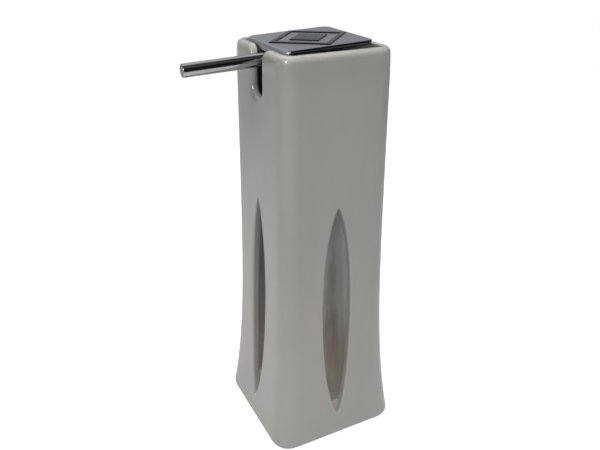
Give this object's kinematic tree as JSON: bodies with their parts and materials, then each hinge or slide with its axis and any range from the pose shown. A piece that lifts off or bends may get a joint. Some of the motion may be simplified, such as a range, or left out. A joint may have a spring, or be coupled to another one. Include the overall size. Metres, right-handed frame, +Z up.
{
  "type": "soap dispenser",
  "caption": "Press-pump soap dispenser: clear refill bottle in a tall flared ceramic sleeve with leaf windows, square chrome press plate and straight spout.",
  "frame": {"origin": "centre of the sleeve's flat underside", "axes": "+Z up, -Y the way the spout points, +X to the left of someone who stands in front of the spout and faces the dispenser's back"},
  "size_m": [0.0842, 0.114, 0.2436],
  "materials": {
    "glazed_ceramic": "gloss",
    "clear_plastic": "clear",
    "white_plastic": "satin",
    "milky_plastic": "satin",
    "seal_rubber": "matte",
    "spring_steel": "satin",
    "chrome": "polished"
  },
  "bodies": {
    "sleeve": {"ceramic_sleeve": "glazed_ceramic"},
    "bottle": {"bottle": "clear_plastic"},
    "pump": {"pump_cylinder": "milky_plastic", "cylinder_cap": "white_plastic", "neck_gasket": "seal_rubber", "ball_retainer": "white_plastic", "dip_tube": "milky_plastic", "return_spring": "spring_steel"},
    "collar": {"screw_collar": "white_plastic"},
    "piston": {"piston_seal": "milky_plastic"},
    "head": {"stem": "white_plastic", "plunger": "white_plastic", "actuator_hub": "white_plastic", "press_plate": "chrome", "spout_tube": "chrome", "spout_end_plug": "chrome", "spout_o_ring": "seal_rubber", "plate_screw_1": "spring_steel", "plate_screw_2": "spring_steel"},
    "inlet_ball": {"inlet_ball": "spring_steel"},
    "outlet_ball": {"outlet_ball": "spring_steel"}
  },
  "joints": [
    {"name": "bottle_lift", "type": "slide", "parent": "sleeve", "child": "bottle", "axis": [0, 0, 1], "range_m": [0, 0.24]},
    {"name": "pump_lift", "type": "slide", "parent": "bottle", "child": "pump", "axis": [0, 0, 1], "range_m": [0, 0.2]},
    {"name": "collar_turn", "type": "hinge", "parent": "pump", "child": "collar", "pos_m": [0, 0, 0.2], "axis": [0, 0, 1], "range_deg": [0, 360]},
    {"name": "press", "type": "slide", "parent": "pump", "child": "piston", "axis": [0, 0, -1], "range_m": [0, 0.014], "stiffness_N_per_m": 300, "springref_m": -0.02, "deforming": ["return_spring"]},
    {"name": "head_swivel", "type": "hinge", "parent": "piston", "child": "head", "pos_m": [0, 0, 0.2], "axis": [0, 0, 1], "range_deg": [-1.5, 1.5]},
    {"name": "inlet_ball_lift", "type": "slide", "parent": "pump", "child": "inlet_ball", "axis": [0, 0, 1], "range_m": [0, 0.0018]},
    {"name": "outlet_ball_lift", "type": "slide", "parent": "head", "child": "outlet_ball", "axis": [0, 0, 1], "range_m": [0, 0.0014]}
  ]
}
